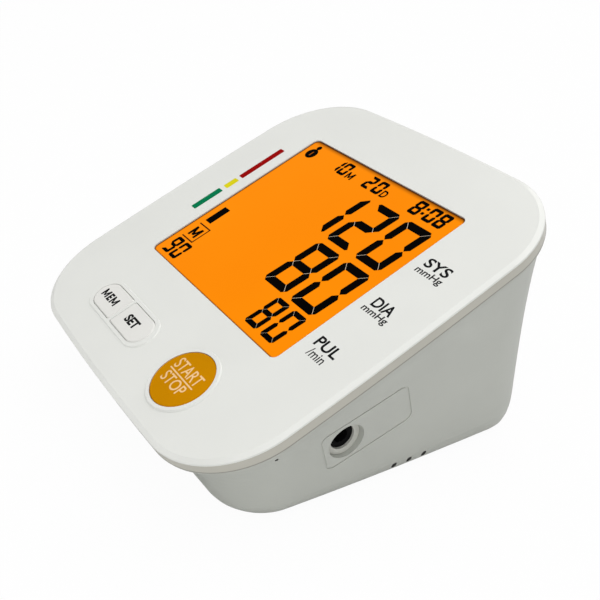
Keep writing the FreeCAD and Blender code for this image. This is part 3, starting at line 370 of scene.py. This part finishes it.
def segments(width, height, stroke):
    # seven mitred strokes of a digit, six points each, in the order top, right upper, right lower,
    # bottom, left lower, left upper, middle; the lower and left ones are mirrored
    cut, half, mid = stroke * display["cut"], stroke / 2, height / 2
    gap = stroke * display["gap"] if stroke > display["boldFrom"] else 0.0
    top = np.array([[cut + gap, height], [cut / 2 + gap, height - cut / 2], [stroke + gap, height - stroke],
                    [width - stroke - gap, height - stroke], [width - cut / 2 - gap, height - cut / 2],
                    [width - cut - gap, height]])
    right = np.array([[width, height - cut - gap], [width - cut / 2, height - cut / 2 - gap],
                      [width - stroke, height - stroke - gap], [width - stroke, mid + half + gap],
                      [width - half, mid + gap], [width, mid + cut + gap]])
    bar = np.array([[stroke + gap, mid + half], [half + gap, mid], [stroke + gap, mid - half],
                    [width - stroke - gap, mid - half], [width - half - gap, mid],
                    [width - stroke - gap, mid + half]])

    def flipUp(shape):
        return (shape * [1, -1] + [0, height])[::-1]

    def flipSide(shape):
        return (shape * [-1, 1] + [width, 0])[::-1]

    return np.stack([top, right, flipUp(right), flipUp(top), flipSide(flipUp(right)), flipSide(right), bar])


def mitres(width, height, stroke):
    # thin lines between neighbouring strokes, from the outer cut to the inner corner
    cut, half, mid = stroke * display["lineFrom"], stroke / 2, height / 2
    ends = np.array([[[cut, height - cut], [stroke, height - stroke]],
                     [[width - cut, height - cut], [width - stroke, height - stroke]],
                     [[cut, cut], [stroke, stroke]],
                     [[width - cut, cut], [width - stroke, stroke]],
                     [[half, mid], [stroke, mid + half]],
                     [[half, mid], [stroke, mid - half]],
                     [[width - half, mid], [width - stroke, mid + half]],
                     [[width - half, mid], [width - stroke, mid - half]]])
    along = ends[:, 1] - ends[:, 0]
    along /= np.linalg.norm(along, axis=1, keepdims=True)
    off = np.stack([-along[:, 1], along[:, 0]], -1) * stroke * display["lineHalf"]
    return np.stack([ends[:, 0] - off, ends[:, 1] - off, ends[:, 1] + off, ends[:, 0] + off], 1)


def onDisplay(shape, left, bottom):
    return shape + shape[..., 1:] * [display["slant"], 0] + [left, bottom]     # leans as it rises


def addLit(name, outlines, ink="segment", lower=0.0):
    addPlates(name, outlines, display["under"], display["over"] - lower, inks[ink], "housing", "window_clear")


addLit("displaySegments", np.concatenate([
    onDisplay(segments(width, height, stroke)[strokesLit[digit]], left, bottom)
    for digit, left, bottom, width, height, stroke in display["digits"]]))
addLit("displayMitres", np.concatenate([
    onDisplay(mitres(width, height, stroke)[mitresLit[digit]], left, bottom)
    for digit, left, bottom, width, height, stroke in display["digits"] if stroke > display["boldFrom"]]),
    "gap", lower=0.03)
# left, right, bottom, top and corner of the boxes: colon and level bar, then the lines round the memory sign
colonAndBar = [(25.1, 26.3, 31.5, 32.6, 0.3), (24.9, 26.1, 29.2, 30.3, 0.3), (-36.4, -32.9, -15.6, -7.3, 0.2)]
memoryLines = [(-36.7, -29.6, -17.8, -17.3, 0.1), (-36.7, -29.6, -25.1, -24.6, 0.1),
               (-29.9, -29.4, -25.1, -17.3, 0.1)]
addLit("displaySigns", np.concatenate([roundedBox(*box) for box in colonAndBar]))
addLit("memoryBox", np.concatenate([roundedBox(*box) for box in memoryLines]), "outline", lower=0.01)
# head and body are circles with a middle and a radius, the mark is a box
figure = {"circles": [(-34.95, 32.45, 1.05), (-35.0, 29.0, 2.45)], "mark": (-35.15, -34.75, 27.8, 30.0, 0.1),
          "steps": 48}
turn = np.linspace(0, 2 * np.pi, figure["steps"], endpoint=False)
ring = np.stack([np.cos(turn), np.sin(turn)], -1)
addLit("figureSign", np.stack([ring * radius + [midX, midY] for midX, midY, radius in figure["circles"]]))
addLit("figureMark", roundedBox(*figure["mark"]), "mark", lower=-0.02)
print("display drawn")

# lower and upper height of the print off the face, in millimetres
printed = {"bars": (-0.03, 0.03), "labels": (-0.02, 0.02), "keys": (0.51, 0.56)}
# left, right, bottom, top and corner of each bar of the scale
bars = {
    "red": (-47.9, -45.2, 5.4, 24.0, 0.4),
    "yellow": (-48.0, -45.2, -1.3, 3.9, 0.4),
    "green": (-48.3, -45.4, -14.9, -3.0, 0.4),
}
for colour, box in bars.items():
    addPlates("bar" + colour.capitalize(), roundedBox(*box), *printed["bars"], inks[colour], "housing",
              "cover_white")


def addWords(name, words, box, low, high, finish, body, slot, weight):
    # letters are filled outlines, stretched to their box and heights and then laid on the face
    curve = bpy.data.curves.new(name + "Outline", "FONT")
    curve.body = words
    curve.extrude = 0.05
    curve.offset = weight
    drawn = bpy.data.objects.new(name + "Outline", curve)
    scene.collection.objects.link(drawn)
    bpy.context.view_layer.update()
    mesh = bpy.data.meshes.new_from_object(drawn.evaluated_get(bpy.context.evaluated_depsgraph_get()))
    bpy.data.objects.remove(drawn)
    mesh.name = name
    flat = np.empty(len(mesh.vertices) * 3)
    mesh.vertices.foreach_get("co", flat)
    flat = flat.reshape(-1, 3)
    flat = (flat - flat.min(0)) / np.ptp(flat, axis=0)       # each way from 0 to 1
    left, right, bottom, top = box
    points = onFace((left + flat[:, 0] * (right - left)) * mm,
                    (bottom + flat[:, 1] * (top - bottom)) * mm + face["windowUp"],
                    (low + flat[:, 2] * (high - low)) * mm)
    mesh.vertices.foreach_set("co", points.ravel())
    mesh.update()
    finishPiece(name, mesh, finish, body)


# words, their boxes in millimetres from the middle of the display (left, right, bottom, top), ink and weight
labels = {
    "labelSys": ("SYS", (44.0, 53.8, 14.4, 18.1), "black", 0.022),
    "labelSysUnit": ("mmHg", (43.7, 54.4, 10.8, 13.9), "grey", 0.018),
    "labelDia": ("DIA", (44.5, 53.0, -5.1, -1.4), "black", 0.022),
    "labelDiaUnit": ("mmHg", (43.5, 54.2, -8.4, -5.4), "grey", 0.018),
    "labelPul": ("PUL", (43.8, 53.6, -24.5, -20.8), "black", 0.022),
    "labelPulUnit": ("/min", (45.1, 52.1, -28.0, -25.0), "grey", 0.008),
}
for name, (words, box, ink, weight) in labels.items():
    addWords(name, words, box, *printed["labels"], inks[ink], "housing", "cover_white", weight)
keyWords = {
    "keyWordSet": ("SET", (-13.65, -6.25, -58.7, -55.4), "black", "set_key", "key_white", 0.045),
    "startWord": ("START", (18.2, 31.5, -56.5, -52.6), "cream", "start_button", "start_amber", 0.006),
    "stopWord": ("STOP", (19.1, 30.3, -61.6, -57.9), "cream", "start_button", "start_amber", 0.006),
}
for name, (words, box, ink, body, slot, weight) in keyWords.items():
    addWords(name, words, box, *printed["keys"], inks[ink], body, slot, weight)
startLine = (18.1, 31.5, -57.45, -57.0, 0.15)
addPlates("startLine", roundedBox(*startLine), *printed["keys"], inks["cream"], "start_button", "start_amber")
daySign = {"box": (6.1, 8.6, 27.3, 30.6), "weight": 0.03}
addWords("daySign", "D", daySign["box"], display["under"], display["over"], inks["segment"], "housing",
         "window_clear", daySign["weight"])


def heavyM(left, right, bottom, top, stroke, dip=0.15):
    # two legs and two slanted strokes that meet low, four points each, with flat ends
    mid, low, half = (left + right) / 2, bottom + (top - bottom) * dip, stroke / 2
    leg = [[left, bottom], [left + stroke, bottom], [left + stroke, top], [left, top]]
    slant = [[mid - half, low], [mid + half, low], [left + stroke, top], [left, top]]
    strokes = np.array([leg, slant])
    return np.concatenate([strokes, (strokes * [-1, 1] + [left + right, 0])[:, ::-1]])


def heavyE(left, right, bottom, top, stroke):
    # one leg and three arms, four points each, the middle arm a little shorter
    leg = [[left, bottom], [left + stroke, bottom], [left + stroke, top], [left, top]]
    low = np.array([bottom, (bottom + top - stroke) / 2, top - stroke])
    near = np.full(3, left)
    far = np.array([right, right - stroke / 4, right])
    arms = np.stack([np.stack([near, low], -1), np.stack([far, low], -1),
                     np.stack([far, low + stroke], -1), np.stack([near, low + stroke], -1)], 1)
    return np.concatenate([[leg], arms])


# left and right of each letter, and the bottom, top and stroke of all three
memWord = {"first": (-32.4, -29.1), "mid": (-28.5, -26.6), "last": (-26.1, -22.6),
           "rows": (-58.6, -55.5, 0.75)}
memLetters = [heavyM(*memWord["first"], *memWord["rows"]), heavyE(*memWord["mid"], *memWord["rows"]),
              heavyM(*memWord["last"], *memWord["rows"])]
addPlates("keyWordMem", np.concatenate(memLetters), *printed["keys"], inks["black"], "mem_key", "key_white")
letterSigns = {"memorySign": (-35.7, -31.1, -23.4, -19.0, 1.1), "monthSign": (-12.6, -9.4, 27.1, 30.3, 0.68)}
for name, shape in letterSigns.items():
    addLit(name, heavyM(*shape))
print("labels drawn")


# floor, light and camera
def whiteToCamera(nt, output, lighting, white, share=1.0):
    # the camera sees the white shader by that share, all other rays see the first one
    out = nt.nodes.new(output)
    seen = nt.nodes.new("ShaderNodeLightPath")
    mix = nt.nodes.new("ShaderNodeMixShader")
    nt.links.new(addMath(nt, "MULTIPLY", seen.outputs["Is Camera Ray"], share), mix.inputs["Fac"])
    nt.links.new(lighting, mix.inputs[1])
    nt.links.new(white, mix.inputs[2])
    nt.links.new(mix.outputs["Shader"], out.inputs["Surface"])


# the sheet lies just under the feet and keeps a little of the shadow
sheet = {"half": 1.5, "z": -0.0002, "low": (0.78, 0.78, 0.78), "high": (0.82, 0.82, 0.82), "grain": 60,
         "white": 0.96}


def addFloor():
    mesh = bpy.data.meshes.new("floor")
    corners = np.array([[-1, -1], [1, -1], [1, 1], [-1, 1]]) * sheet["half"]
    mesh.from_pydata(np.column_stack([corners, np.full(4, sheet["z"])]).tolist(), [], [[0, 1, 2, 3]])
    floor = bpy.data.objects.new("floor", mesh)
    scene.collection.objects.link(floor)
    mat = bpy.data.materials.new("floorPaper")
    mat.use_nodes = True
    nt = mat.node_tree
    nt.nodes.clear()
    paper = nt.nodes.new("ShaderNodeBsdfDiffuse")
    tint = addRamp(nt, addNoise(nt, sheet["grain"]), sheet["low"], sheet["high"])
    nt.links.new(tint, paper.inputs["Color"])
    white = nt.nodes.new("ShaderNodeEmission")
    whiteToCamera(nt, "ShaderNodeOutputMaterial", paper.outputs["BSDF"], white.outputs["Emission"],
                  sheet["white"])
    mesh.materials.append(mat)


def addWorld(level):
    # white behind the object, softer as light
    scene.world = bpy.data.worlds.new("studio")
    scene.world.use_nodes = True
    nt = scene.world.node_tree
    nt.nodes.clear()
    skies = []
    for strength in (level, 1.0):
        sky = nt.nodes.new("ShaderNodeBackground")
        sky.inputs["Color"].default_value = (1, 1, 1, 1)
        sky.inputs["Strength"].default_value = strength
        skies.append(sky.outputs["Background"])
    whiteToCamera(nt, "ShaderNodeOutputWorld", *skies)


def addLamp(name, place, aim, size, power):
    lamp = bpy.data.lights.new(name, "AREA")
    lamp.size = size
    lamp.energy = power
    obj = bpy.data.objects.new(name, lamp)
    obj.location = place
    obj.rotation_euler = (Vector(aim) - Vector(place)).to_track_quat("-Z", "Y").to_euler()
    scene.collection.objects.link(obj)


addFloor()
addWorld(level=0.42)
# place, aim, size and power of each lamp
lamps = {
    "backLamp": ((-0.2, 0.75, 1.3), (0, 0, 0.04), 1.5, 11.4),
    "topLamp": ((0.25, -0.3, 1.3), (0, 0, 0.04), 1.5, 7.4),
    "frontLamp": ((0.8, -0.65, 0.28), (0, 0, 0.03), 0.55, 1.9),
    "leftLamp": ((-0.7, -0.9, 0.28), (0, 0, 0.03), 0.55, 0.7),
}
for name, settings in lamps.items():
    addLamp(name, *settings)

# where the photograph was taken from, in metres, with lens and sensor in millimetres
view = {
    "place": (0.2132, -0.1334, 0.1680),
    "look": (-0.7333, 0.4873, -0.4741),
    "down": (0.4253, -0.2151, -0.8791),
    "lens": 53.4,
    "sensor": 36,
    "clipStart": 0.01,
}
look = np.array(view["look"]) / np.linalg.norm(view["look"])
upward = -np.array(view["down"])
upward -= look * (upward @ look)
upward /= np.linalg.norm(upward)
sideways = np.cross(look, upward)
camera = bpy.data.objects.new("camera", bpy.data.cameras.new("camera"))
camera.data.sensor_width = view["sensor"]
camera.data.lens = view["lens"]
camera.data.clip_start = view["clipStart"]
placed = np.eye(4)
placed[:3] = np.column_stack([sideways, upward, -look, view["place"]])
camera.matrix_world = Matrix(placed.tolist())
scene.collection.objects.link(camera)
scene.camera = camera
print("camera and light set")
